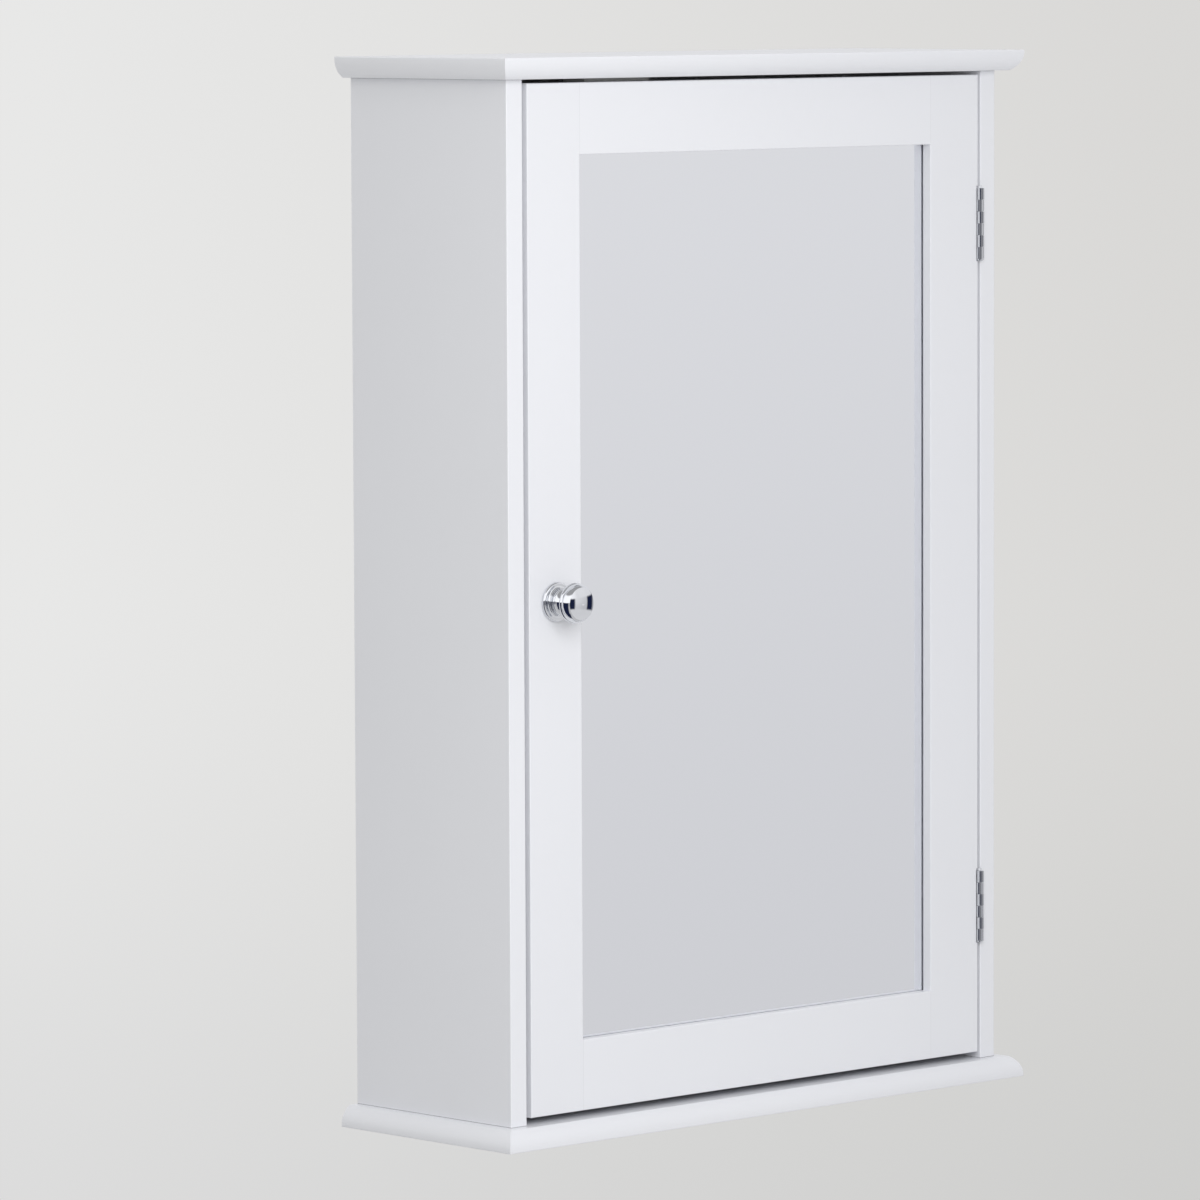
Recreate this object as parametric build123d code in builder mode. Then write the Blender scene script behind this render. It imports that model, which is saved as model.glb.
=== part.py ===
from build123d import *
import os

# Bathroom mirror cabinet in painted MDF, hung on a wall by two keyhole plates.
# Millimetres. X to the right, Y into the wall, Z up. The wall is the plane Y = 0, and the
# origin lies on it, midway between the head holes of the two keyhole plates.

# Carcass
cabinet_height = 530.0
board_width = 363.0
board_depth = 122.8
board_thickness = 10.5
panel_thickness = 10.5
board_overhang = 10.7  # past the side panels, at both ends and in front
moulding_inset = 5.5  # how far the routed round draws in at the board's inner face
moulding_step = 1.0  # straight band left at the board's outer face
arris = 0.5  # paint-softened edge radius

# Back and hanging rail
back_thickness = 3.0
back_rebate = 5.0
back_clearance = 0.5
rail_height = 50.0
rail_thickness = 10.5
rail_dowel_margin = 12.5  # from the rail's upper and lower edges
keyhole_drop = 26.0  # underside of the top board down to the keyholes
keyhole_inset = 40.3  # from a side panel's inner face
keyhole_plate_width = 20.0
keyhole_plate_length = 42.0
keyhole_plate_thickness = 1.2
keyhole_plate_corner = 4.0
keyhole_plate_rise = 4.0  # middle of the plate above the head hole
keyhole_head_radius = 4.0
keyhole_slot_radius = 2.1
keyhole_slot_rise = 9.0
keyhole_pocket_depth = 6.0
keyhole_pocket_clearance = 1.0
pad_radius = 7.0
pad_inset = 18.0

# Shelves
shelf_thickness = 10.5
shelf_depth = 84.0
shelf_side_clearance = 1.0
shelf_back_clearance = 1.0
shelf_lower_height = 165.0  # underside above the bottom board
shelf_upper_height = 330.0
shelf_hole_radius = 2.5
shelf_hole_depth = 7.0
shelf_hole_pitch = 32.0
shelf_hole_margin = 14.0  # from the shelf's front and back edges
shelf_pin_reach = 7.5

# Dowels, screws and nails
dowel_radius = 3.0
dowel_in_board = 7.0
dowel_in_panel = 18.0
dowel_margin = 22.0
hole_clearance = 0.05
board_screw_radius = 1.75
board_screw_head_radius = 3.5
board_screw_length = 35.0
nail_radius = 0.7
nail_head_radius = 1.4
nail_head_thickness = 0.5
nail_length = 14.0
nail_panel_margin = 30.0  # outermost nails of a side panel from its ends
nail_board_margin = 64.0  # outermost nails of a board from the side panels
nails_per_panel = 5
nails_per_board = 3
small_screw_radius = 1.25  # in the hanger plates, the mirror clips and the strike plate
small_screw_head_radius = 2.4
small_screw_length = 10.0

# Door
door_thickness = 15.0
frame_width = 35.0
gap_left = 3.1
gap_top = 2.0
gap_bottom = 3.5
lip_thickness = 5.3
mirror_rebate = 9.0
mirror_clearance = 1.0
mirror_thickness = 3.0
tape_thickness = 0.7
tape_width = 6.0
backing_thickness = 3.0
door_dowel_radius = 3.0
door_dowel_half = 18.0
clip_thickness = 0.8
clip_width = 12.0
clip_foot = 11.0
clip_pad = 6.0
clip_end_margin = 60.0
clips_per_side = 4  # an even count keeps them clear of the knob's screw
clip_screw_head_height = 1.3

# Hinges
leaf_thickness = 0.8
leaf_clearance = 0.2  # between the two closed leaves
leaf_reach = 12.0
barrel_radius = 1.95
barrel_clearance = 0.3
pin_clearance = 0.1
pin_proud = 0.8  # pin axis in front of the door's face
pin_tip = 0.9
pin_tip_round = 0.8  # share of the tip that its rounding takes
hinge_length = 36.2
hinge_inset = 76.0  # middle of a hinge from the door's top or bottom edge
knuckle_count = 6
knuckle_gap = 0.15
roll_seam = 0.2
leaf_screw_radius = 1.25
leaf_screw_head_radius = 2.3
leaf_screw_length = 9.0
leaf_screw_depth = 6.5  # back from the pin axis
leaf_screw_spacing = 24.0

# Knob, with heights from the door's face
rosette_radius = 9.7
rosette_height = 4.0
rosette_rim_level = 1.2
rosette_rim_round = 0.9
rosette_ledge = 0.9
rosette_seat_margin = 0.6
neck_ring_radius = 6.3
neck_ring_round = 0.5
neck_ring_height = 1.5
neck_radius = 4.2
knob_radius = 9.95
knob_bead_level = 13.4
knob_bead_half = 1.1
knob_bead_round = 1.2
knob_band_radius = 9.5
knob_shoulder_level = 15.0
knob_face_radius = 7.9
knob_dome = 1.1
knob_height = 19.6
knob_screw_radius = 2.0
knob_screw_head_radius = 4.0
knob_screw_head_height = 2.4
knob_screw_grip = 9.0  # thread inside the knob
knob_bore_spare = 2.0

# Magnetic catch
catch_width = 26.0
catch_ear = 9.0
catch_ear_thickness = 2.6
catch_depth = 15.0
catch_height = 15.0
catch_wall = 1.6
pole_thickness = 1.2
pole_proud = 0.6
magnet_width = 18.0
catch_gap = 0.2
strike_width = 38.0
strike_height = 11.0
strike_margin = 4.0  # from the frame dowels in the top rail
strike_thickness = 1.0
catch_screw_radius = 1.5
catch_screw_head_radius = 2.8
catch_screw_length = 10.0

# Levels and faces
ceiling_z = keyhole_drop
top_z = ceiling_z + board_thickness
base_z = top_z - cabinet_height
floor_z = base_z + board_thickness
middle_z = (top_z + base_z) / 2
rear_y = -keyhole_plate_thickness
back_front_y = rear_y - back_thickness
front_y = rear_y - (board_depth - board_overhang)
board_front_y = rear_y - board_depth
outer_x = board_width / 2 - board_overhang
inner_x = outer_x - panel_thickness
panel_x = outer_x - panel_thickness / 2
keyhole_x = inner_x - keyhole_inset

gap_right = 2 * leaf_thickness + leaf_clearance
door_left = gap_left - inner_x
door_right = inner_x - gap_right
door_top = ceiling_z - gap_top
door_bottom = floor_z + gap_bottom
door_middle_z = (door_top + door_bottom) / 2
door_rear_y = front_y + door_thickness
opening_left = door_left + frame_width
opening_right = door_right - frame_width
opening_top = door_top - frame_width
opening_bottom = door_bottom + frame_width
opening_x = (opening_left + opening_right) / 2
lip_rear_y = front_y + lip_thickness

pin_x = inner_x - gap_right / 2
pin_y = front_y - pin_proud
pin_radius = barrel_radius - leaf_thickness - pin_clearance
hinge_heights = (door_top - hinge_inset, door_bottom + hinge_inset)
knob_x = door_left + frame_width / 2

strike_face_y = door_rear_y + strike_thickness
pole_tip_y = strike_face_y + catch_gap
catch_front_y = pole_tip_y + pole_proud
catch_rear_y = catch_front_y + catch_depth
catch_y = (catch_front_y + catch_rear_y) / 2
catch_x = opening_left + door_dowel_half + strike_margin + strike_width / 2
catch_low_z = ceiling_z - catch_height
magnet_low_z = catch_low_z + catch_wall
magnet_high_z = ceiling_z - catch_ear_thickness

os.makedirs("parts", exist_ok=True)


def write(builder, name):
    """Labels a finished piece and writes it to its own file."""
    builder.part.label = name
    export_step(builder.part, f"parts/{name}.step")


def block(low, high, mode=Mode.ADD):
    """Box between two corners, in the part being built."""
    with Locations(low):
        Box(*(b - a for a, b in zip(low, high)), align=Align.MIN, mode=mode)


def facing(x, y, z, direction):
    """Place on a surface that faces the given direction."""
    return Plane(origin=(x, y, z), z_dir=direction)


def countersunk_screw(radius, head_radius, length):
    """Screw with its flat head at the origin and its tip towards -Z."""
    with BuildPart() as screw:
        with BuildSketch(Plane.XZ):
            with BuildLine():
                Polyline(
                    (0, 0),
                    (head_radius, 0),
                    (radius, radius - head_radius),
                    (radius, 2 * radius - length),
                    (0, -length),
                    close=True,
                )
            make_face()
        revolve(axis=Axis.Z)
    return screw.part


def pan_screw(radius, head_radius, head_height, length):
    """Screw with a domed head that stands on the origin's plane."""
    with BuildPart() as screw:
        with BuildSketch(Plane.XZ):
            with BuildLine():
                Polyline(
                    (0, head_height),
                    (0, -length),
                    (radius, 2 * radius - length),
                    (radius, 0),
                    (head_radius, 0),
                )
                TangentArc((0, head_height), (head_radius, 0), tangent=(1, 0))
            make_face()
        revolve(axis=Axis.Z)
    return screw.part


# Where dowels, screws and nails hold the carcass together
joint_sides = (-panel_x, panel_x)
joint_rear_y = back_front_y - dowel_margin
joint_front_y = front_y + dowel_margin
joint_middle_y = (joint_rear_y + joint_front_y) / 2
joint_depths = (joint_rear_y, joint_middle_y, joint_front_y)
top_dowel_places = [(x, y) for x in joint_sides for y in joint_depths]
bottom_dowel_places = [(x, joint_middle_y) for x in joint_sides]
bottom_screw_places = [(x, y) for x in joint_sides for y in (joint_rear_y, joint_front_y)]
catch_screw_places = [catch_x + side * (catch_width + catch_ear) / 2 for side in (-1, 1)]
dowel_length = dowel_in_board + dowel_in_panel


def spread(low, high, count):
    """Evenly spaced values from low to high."""
    return [low + (high - low) * index / (count - 1) for index in range(count)]


nail_inset = back_rebate / 2
nail_levels = spread(floor_z + nail_panel_margin, ceiling_z - nail_panel_margin, nails_per_panel)
nail_columns = spread(nail_board_margin - inner_x, inner_x - nail_board_margin, nails_per_board)
side_nail_places = [(side * (inner_x + nail_inset), z) for side in (-1, 1) for z in nail_levels]
top_nail_places = [(x, ceiling_z + nail_inset) for x in nail_columns]
bottom_nail_places = [(x, floor_z - nail_inset) for x in nail_columns]
nail_places = side_nail_places + top_nail_places + bottom_nail_places


def nail_holes(places):
    """Holes for the panel pins, in the piece being built."""
    with Locations(*[facing(x, rear_y, z, (0, 1, 0)) for x, z in places]):
        Hole(nail_radius + hole_clearance, depth=nail_length + hole_clearance)


# Top and bottom boards
# The moulding is cut by one profile swept round three edges, so its corners are mitred.
cut_margin = 2.0
path_start = (-board_width / 2, rear_y + cut_margin, top_z)

with BuildPart() as moulded_blank:
    with BuildSketch(Plane.XY.offset(ceiling_z)):
        with Locations((0, rear_y - board_depth / 2)):
            Rectangle(board_width, board_depth)
    extrude(amount=board_thickness)
    with BuildLine():
        Polyline(
            path_start,
            (-board_width / 2, board_front_y, top_z),
            (board_width / 2, board_front_y, top_z),
            (board_width / 2, rear_y + cut_margin, top_z),
        )
    with BuildSketch(Plane(origin=path_start, x_dir=(1, 0, 0), z_dir=(0, -1, 0))):
        with BuildLine():
            TangentArc(
                (0, -moulding_step),
                (moulding_inset, -board_thickness),
                tangent=(0, -1),
            )
            Polyline(
                (moulding_inset, -board_thickness),
                (moulding_inset, -board_thickness - cut_margin),
                (-cut_margin, -board_thickness - cut_margin),
                (-cut_margin, -moulding_step),
                (0, -moulding_step),
            )
        make_face()
    sweep(transition=Transition.RIGHT, mode=Mode.SUBTRACT)
    fillet(edges().group_by(Axis.Z)[-1].group_by(Axis.Y)[:-1], arris)
    block(
        (-inner_x - back_rebate, back_front_y, ceiling_z - cut_margin),
        (inner_x + back_rebate, rear_y + cut_margin, ceiling_z + back_rebate),
        mode=Mode.SUBTRACT,
    )

with BuildPart() as top_board:
    add(moulded_blank.part)
    with Locations(*[facing(x, y, ceiling_z, (0, 0, -1)) for x, y in top_dowel_places]):
        Hole(dowel_radius + hole_clearance, depth=dowel_in_board + hole_clearance)
    with Locations(*[facing(x, catch_y, ceiling_z, (0, 0, -1)) for x in catch_screw_places]):
        Hole(
            catch_screw_radius + hole_clearance,
            depth=catch_screw_length - catch_ear_thickness + hole_clearance,
        )
    nail_holes(top_nail_places)

with BuildPart() as bottom_board:
    mirror(moulded_blank.part, about=Plane.XY.offset(middle_z))
    with Locations(*[(x, y, floor_z) for x, y in bottom_dowel_places]):
        Hole(dowel_radius + hole_clearance, depth=dowel_in_board + hole_clearance)
    with Locations(*[facing(x, y, base_z, (0, 0, -1)) for x, y in bottom_screw_places]):
        CounterSinkHole(
            board_screw_radius + hole_clearance,
            board_screw_head_radius + hole_clearance,
            depth=board_thickness,
            counter_sink_angle=90,
        )
    nail_holes(bottom_nail_places)

top_dowel_z = ceiling_z + dowel_in_board - dowel_length / 2
with BuildPart() as top_dowels:
    with Locations(*[(x, y, top_dowel_z) for x, y in top_dowel_places]):
        Cylinder(dowel_radius, dowel_length)

bottom_dowel_z = floor_z - dowel_in_board + dowel_length / 2
with BuildPart() as bottom_dowels:
    with Locations(*[(x, y, bottom_dowel_z) for x, y in bottom_dowel_places]):
        Cylinder(dowel_radius, dowel_length)

board_screw = countersunk_screw(board_screw_radius, board_screw_head_radius, board_screw_length)
with BuildPart() as bottom_screws:
    with Locations(*[facing(x, y, base_z, (0, 0, -1)) for x, y in bottom_screw_places]):
        add(board_screw)

# Shelves, their pins and the holes for them
shelf_rear_y = back_front_y - shelf_back_clearance
shelf_front_y = shelf_rear_y - shelf_depth
shelf_levels = (floor_z + shelf_lower_height, floor_z + shelf_upper_height)
pin_rows = (shelf_rear_y - shelf_hole_margin, shelf_front_y + shelf_hole_margin)
shelf_hole_places = [
    (y, level - shelf_hole_radius + step * shelf_hole_pitch)
    for y in pin_rows
    for level in shelf_levels
    for step in (-1, 0, 1)
]


def shelf_at(level):
    """Shelf board with its underside at the given level."""
    with BuildPart() as shelf:
        with BuildSketch(Plane.XY.offset(level)):
            with Locations((0, (shelf_rear_y + shelf_front_y) / 2)):
                Rectangle(2 * (inner_x - shelf_side_clearance), shelf_depth)
        extrude(amount=shelf_thickness)
        fillet(edges().filter_by(Axis.X).group_by(Axis.Y)[0], arris)
    return shelf


def shelf_pins_at(level):
    """Four steel pins under one shelf."""
    pin_length = shelf_hole_depth - hole_clearance + shelf_pin_reach
    with BuildPart() as pins:
        for side in (-1, 1):
            tip_x = side * (inner_x - shelf_pin_reach)
            with Locations(
                *[facing(tip_x, y, level - shelf_hole_radius, (side, 0, 0)) for y in pin_rows]
            ):
                Cylinder(
                    shelf_hole_radius - hole_clearance,
                    pin_length,
                    align=(Align.CENTER, Align.CENTER, Align.MIN),
                )
    return pins


shelf_lower = shelf_at(shelf_levels[0])
shelf_upper = shelf_at(shelf_levels[1])
shelf_pins_lower = shelf_pins_at(shelf_levels[0])
shelf_pins_upper = shelf_pins_at(shelf_levels[1])

# Side panels
rail_bottom_z = ceiling_z - rail_height
rail_front_y = back_front_y - rail_thickness
rail_y = back_front_y - rail_thickness / 2
rail_dowel_levels = (ceiling_z - rail_dowel_margin, rail_bottom_z + rail_dowel_margin)

with BuildPart() as side_panel_left:
    with BuildSketch(Plane.XY.offset(floor_z)):
        with Locations((-panel_x, (rear_y + front_y) / 2)):
            Rectangle(panel_thickness, rear_y - front_y)
    extrude(amount=ceiling_z - floor_z)
    fillet(edges().filter_by(Axis.Z).group_by(Axis.Y)[0], arris)
    block(
        (-inner_x - back_rebate, back_front_y, floor_z),
        (-inner_x, rear_y, ceiling_z),
        mode=Mode.SUBTRACT,
    )
    with Locations(*[facing(-inner_x, y, z, (1, 0, 0)) for y, z in shelf_hole_places]):
        Hole(shelf_hole_radius, depth=shelf_hole_depth)
    with Locations(*[facing(-inner_x, rail_y, z, (1, 0, 0)) for z in rail_dowel_levels]):
        Hole(dowel_radius + hole_clearance, depth=dowel_in_board + hole_clearance)
    with Locations(*[(x, y, ceiling_z) for x, y in top_dowel_places if x < 0]):
        Hole(dowel_radius + hole_clearance, depth=dowel_in_panel + hole_clearance)
    with Locations(*[facing(x, y, floor_z, (0, 0, -1)) for x, y in bottom_dowel_places if x < 0]):
        Hole(dowel_radius + hole_clearance, depth=dowel_in_panel + hole_clearance)
    with Locations(*[facing(x, y, floor_z, (0, 0, -1)) for x, y in bottom_screw_places if x < 0]):
        Hole(
            board_screw_radius + hole_clearance,
            depth=board_screw_length - board_thickness + hole_clearance,
        )
    nail_holes([place for place in side_nail_places if place[0] < 0])

with BuildPart(mode=Mode.PRIVATE) as barrel_seats:
    with Locations(*[(pin_x, pin_y, z) for z in hinge_heights]):
        Cylinder(barrel_radius + barrel_clearance, hinge_length + 2 * pin_tip + 2 * barrel_clearance)

leaf_screw_levels = [
    z + side * leaf_screw_spacing / 2 for z in hinge_heights for side in (-1, 1)
]
leaf_screw_y = pin_y + leaf_screw_depth

with BuildPart() as side_panel_right:
    mirror(side_panel_left.part, about=Plane.YZ)
    add(barrel_seats.part, mode=Mode.SUBTRACT)
    with Locations(
        *[facing(inner_x - leaf_thickness, leaf_screw_y, z, (-1, 0, 0)) for z in leaf_screw_levels]
    ):
        CounterSinkHole(
            leaf_screw_radius + hole_clearance,
            leaf_screw_head_radius + hole_clearance,
            depth=leaf_screw_length + hole_clearance,
            counter_sink_angle=90,
        )

# Hanging rail, back panel, keyhole plates and wall pads
keyhole_places = (-keyhole_x, keyhole_x)
plate_screw_offset = keyhole_plate_length / 2 - keyhole_head_radius
plate_screw_levels = (
    keyhole_plate_rise - plate_screw_offset,
    keyhole_plate_rise + plate_screw_offset,
)
plate_screw_places = [(x, z) for x in keyhole_places for z in plate_screw_levels]
plate_screw_length = back_thickness + rail_thickness


def keyhole_pockets():
    """Room for a screw's head behind each keyhole, in the piece being built."""
    half_width = keyhole_head_radius + keyhole_pocket_clearance
    for x in keyhole_places:
        block(
            (x - half_width, rear_y - keyhole_pocket_depth, -half_width),
            (x + half_width, rear_y, keyhole_slot_rise + half_width),
            mode=Mode.SUBTRACT,
        )
    with Locations(*[facing(x, 0, z, (0, 1, 0)) for x, z in plate_screw_places]):
        CounterSinkHole(
            small_screw_radius + hole_clearance,
            small_screw_head_radius + hole_clearance,
            depth=plate_screw_length + hole_clearance,
            counter_sink_angle=90,
        )


with BuildPart() as hanging_rail:
    block((-inner_x, rail_front_y, rail_bottom_z), (inner_x, back_front_y, ceiling_z))
    for side in (-1, 1):
        rail_end = side * inner_x
        with Locations(*[facing(rail_end, rail_y, z, (side, 0, 0)) for z in rail_dowel_levels]):
            Hole(dowel_radius + hole_clearance, depth=dowel_in_panel + hole_clearance)
    keyhole_pockets()

with BuildPart() as rail_dowels:
    for side in (-1, 1):
        outer_end = side * (inner_x + dowel_in_board)
        with Locations(*[facing(outer_end, rail_y, z, (-side, 0, 0)) for z in rail_dowel_levels]):
            Cylinder(dowel_radius, dowel_length, align=(Align.CENTER, Align.CENTER, Align.MIN))

with BuildPart() as back_panel:
    edge_gap = back_rebate - back_clearance
    block(
        (-inner_x - edge_gap, back_front_y, floor_z - edge_gap),
        (inner_x + edge_gap, rear_y, ceiling_z + edge_gap),
    )
    keyhole_pockets()
    nail_holes(nail_places)

with BuildPart() as nail_blank:
    Cylinder(nail_radius, nail_length, align=(Align.CENTER, Align.CENTER, Align.MAX))
    Cylinder(nail_head_radius, nail_head_thickness, align=(Align.CENTER, Align.CENTER, Align.MIN))

with BuildPart() as back_nails:
    with Locations(*[facing(x, rear_y, z, (0, 1, 0)) for x, z in nail_places]):
        add(nail_blank.part)


def keyhole_plate_at(x):
    """Steel hanger plate: round head hole, narrow slot above it, a screw at each end."""
    middle = (x, rear_y, keyhole_plate_rise)
    with BuildPart() as plate:
        with BuildSketch(Plane(origin=middle, x_dir=(1, 0, 0), z_dir=(0, 1, 0))):
            RectangleRounded(keyhole_plate_width, keyhole_plate_length, keyhole_plate_corner)
        extrude(amount=keyhole_plate_thickness)
        with Locations(facing(x, 0, 0, (0, 1, 0))):
            Hole(keyhole_head_radius)
        with Locations(facing(x, 0, keyhole_slot_rise, (0, 1, 0))):
            Hole(keyhole_slot_radius)
        block(
            (x - keyhole_slot_radius, rear_y, 0),
            (x + keyhole_slot_radius, 0, keyhole_slot_rise),
            mode=Mode.SUBTRACT,
        )
        with Locations(*[facing(x, 0, z, (0, 1, 0)) for z in plate_screw_levels]):
            CounterSinkHole(
                small_screw_radius + hole_clearance,
                small_screw_head_radius + hole_clearance,
                counter_sink_angle=90,
            )
    return plate


keyhole_plate_left = keyhole_plate_at(-keyhole_x)
keyhole_plate_right = keyhole_plate_at(keyhole_x)

plate_screw = countersunk_screw(small_screw_radius, small_screw_head_radius, plate_screw_length)
with BuildPart() as keyhole_plate_screws:
    with Locations(*[facing(x, 0, z, (0, 1, 0)) for x, z in plate_screw_places]):
        add(plate_screw)

pad_x = inner_x - pad_inset
with BuildPart() as wall_pads:
    with Locations(*[facing(x, rear_y, floor_z + pad_inset, (0, 1, 0)) for x in (-pad_x, pad_x)]):
        Cylinder(pad_radius, keyhole_plate_thickness, align=(Align.CENTER, Align.CENTER, Align.MIN))

# Door frame
# The four members are cut from one blank, so that opening, lip and rebate line up.
pocket_low = (opening_left - mirror_rebate, lip_rear_y, opening_bottom - mirror_rebate)
pocket_high = (opening_right + mirror_rebate, door_rear_y, opening_top + mirror_rebate)

with BuildPart() as frame_blank:
    block((door_left, front_y, door_bottom), (door_right, door_rear_y, door_top))
    block(
        (opening_left, front_y, opening_bottom),
        (opening_right, door_rear_y, opening_top),
        mode=Mode.SUBTRACT,
    )
    fillet(edges().group_by(Axis.Y)[0], arris)
    block(pocket_low, pocket_high, mode=Mode.SUBTRACT)

door_dowel_y = front_y + door_thickness / 2
dowel_step = (frame_width - mirror_rebate) / 3
door_dowel_places = [
    (x, z)
    for x in (opening_left, opening_right)
    for z in (
        door_top - dowel_step,
        door_top - 2 * dowel_step,
        door_bottom + dowel_step,
        door_bottom + 2 * dowel_step,
    )
]

with BuildPart() as door_dowels:
    with Locations(*[facing(x, door_dowel_y, z, (1, 0, 0)) for x, z in door_dowel_places]):
        Cylinder(door_dowel_radius, 2 * door_dowel_half)


def door_dowel_holes():
    """Holes for the frame's dowels, in the member being built."""
    with Locations(*[facing(x, door_dowel_y, z, (1, 0, 0)) for x, z in door_dowel_places]):
        Cylinder(
            door_dowel_radius + hole_clearance,
            2 * (door_dowel_half + hole_clearance),
            mode=Mode.SUBTRACT,
        )


# Retaining clips: a foot on the frame's back, a step down and a pad on the backing
pane_front_y = lip_rear_y + tape_thickness
pane_rear_y = pane_front_y + mirror_thickness
backing_rear_y = pane_rear_y + backing_thickness
clip_drop = door_rear_y - backing_rear_y
clip_levels = spread(
    pocket_low[2] + clip_end_margin, pocket_high[2] - clip_end_margin, clips_per_side
)
clip_places = [(pocket_low[0], z, (1, 0, 0)) for z in clip_levels]
clip_places += [(pocket_high[0], z, (-1, 0, 0)) for z in clip_levels]
clip_places += [(opening_x, pocket_low[2], (0, 0, 1)), (opening_x, pocket_high[2], (0, 0, -1))]
clip_planes = [
    Plane(origin=(x, door_rear_y, z), x_dir=inward, z_dir=(0, 1, 0)) for x, z, inward in clip_places
]
clip_screw_offset = -clip_foot / 2
clip_screw_planes = [
    plane.shift_origin(plane.from_local_coords((clip_screw_offset, 0, 0))) for plane in clip_planes
]

with BuildPart() as clip_blank:
    with BuildSketch(Plane.XZ):
        with BuildLine():
            Polyline(
                (-clip_foot, 0),
                (-clip_foot, clip_thickness),
                (clip_thickness + mirror_clearance, clip_thickness),
                (clip_thickness + mirror_clearance, clip_thickness - clip_drop),
                (clip_pad, clip_thickness - clip_drop),
                (clip_pad, -clip_drop),
                (mirror_clearance, -clip_drop),
                (mirror_clearance, 0),
                close=True,
            )
        make_face()
    extrude(amount=clip_width / 2, both=True)
    with Locations((clip_screw_offset, 0, clip_thickness)):
        Hole(small_screw_radius + hole_clearance, depth=clip_thickness)

with BuildPart() as mirror_clips:
    with Locations(*clip_planes):
        add(clip_blank.part)

clip_screw = pan_screw(
    small_screw_radius, small_screw_head_radius, clip_screw_head_height, small_screw_length
)
with BuildPart() as mirror_clip_screws:
    with Locations(*[plane.offset(clip_thickness) for plane in clip_screw_planes]):
        add(clip_screw)


def clip_screw_holes():
    """Pilot holes for the clip screws, in the member being built."""
    with Locations(*clip_screw_planes):
        Hole(
            small_screw_radius + hole_clearance,
            depth=small_screw_length - clip_thickness + hole_clearance,
        )


# Magnetic catch under the top board, and its strike plate on the top rail
strike_z = (magnet_low_z + magnet_high_z) / 2
catch_span = catch_width + 2 * catch_ear
strike_screw_places = [catch_x + side * (magnet_width + strike_width) / 4 for side in (-1, 1)]

with BuildPart() as catch_body:
    with BuildSketch(Plane.XZ.offset(-catch_rear_y)):
        with BuildLine():
            Polyline(
                (catch_x - catch_span / 2, ceiling_z),
                (catch_x - catch_span / 2, ceiling_z - catch_ear_thickness),
                (catch_x - catch_width / 2, ceiling_z - catch_ear_thickness),
                (catch_x - catch_width / 2, catch_low_z),
                (catch_x + catch_width / 2, catch_low_z),
                (catch_x + catch_width / 2, ceiling_z - catch_ear_thickness),
                (catch_x + catch_span / 2, ceiling_z - catch_ear_thickness),
                (catch_x + catch_span / 2, ceiling_z),
                close=True,
            )
        make_face()
    extrude(amount=catch_depth)
    block(
        (catch_x - magnet_width / 2, catch_front_y, magnet_low_z),
        (catch_x + magnet_width / 2, catch_rear_y - catch_wall, magnet_high_z),
        mode=Mode.SUBTRACT,
    )
    with Locations(
        *[facing(x, catch_y, ceiling_z - catch_ear_thickness, (0, 0, -1)) for x in catch_screw_places]
    ):
        CounterSinkHole(
            catch_screw_radius + hole_clearance,
            catch_screw_head_radius + hole_clearance,
            depth=catch_ear_thickness,
            counter_sink_angle=90,
        )

with BuildPart() as catch_pole_plates:
    for low_z in (magnet_low_z, magnet_high_z - pole_thickness):
        block(
            (catch_x - magnet_width / 2, pole_tip_y, low_z),
            (catch_x + magnet_width / 2, catch_rear_y - catch_wall, low_z + pole_thickness),
        )

with BuildPart() as catch_magnet:
    block(
        (catch_x - magnet_width / 2, catch_front_y, magnet_low_z + pole_thickness),
        (catch_x + magnet_width / 2, catch_rear_y - catch_wall, magnet_high_z - pole_thickness),
    )

catch_screw = countersunk_screw(catch_screw_radius, catch_screw_head_radius, catch_screw_length)
with BuildPart() as catch_screws:
    with Locations(
        *[facing(x, catch_y, ceiling_z - catch_ear_thickness, (0, 0, -1)) for x in catch_screw_places]
    ):
        add(catch_screw)

with BuildPart() as strike_plate:
    block(
        (catch_x - strike_width / 2, door_rear_y, strike_z - strike_height / 2),
        (catch_x + strike_width / 2, strike_face_y, strike_z + strike_height / 2),
    )
    with Locations(*[facing(x, strike_face_y, strike_z, (0, 1, 0)) for x in strike_screw_places]):
        CounterSinkHole(
            small_screw_radius + hole_clearance,
            small_screw_head_radius + hole_clearance,
            counter_sink_angle=90,
        )

strike_screw = countersunk_screw(small_screw_radius, small_screw_head_radius, small_screw_length)
with BuildPart() as strike_screws:
    with Locations(*[facing(x, strike_face_y, strike_z, (0, 1, 0)) for x in strike_screw_places]):
        add(strike_screw)

# Door members
with BuildPart() as door_stile_left:
    add(frame_blank.part)
    block(
        (door_left, front_y, door_bottom),
        (opening_left, door_rear_y, door_top),
        mode=Mode.INTERSECT,
    )
    door_dowel_holes()
    clip_screw_holes()
    with Locations(facing(knob_x, door_rear_y, door_middle_z, (0, 1, 0))):
        CounterBoreHole(
            knob_screw_radius + hole_clearance,
            knob_screw_head_radius + barrel_clearance,
            knob_screw_head_height,
        )

with BuildPart() as door_stile_right:
    add(frame_blank.part)
    block(
        (opening_right, front_y, door_bottom),
        (door_right, door_rear_y, door_top),
        mode=Mode.INTERSECT,
    )
    door_dowel_holes()
    clip_screw_holes()
    add(barrel_seats.part, mode=Mode.SUBTRACT)
    with Locations(
        *[facing(door_right + leaf_thickness, leaf_screw_y, z, (1, 0, 0)) for z in leaf_screw_levels]
    ):
        CounterSinkHole(
            leaf_screw_radius + hole_clearance,
            leaf_screw_head_radius + hole_clearance,
            depth=leaf_screw_length + hole_clearance,
            counter_sink_angle=90,
        )

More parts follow.
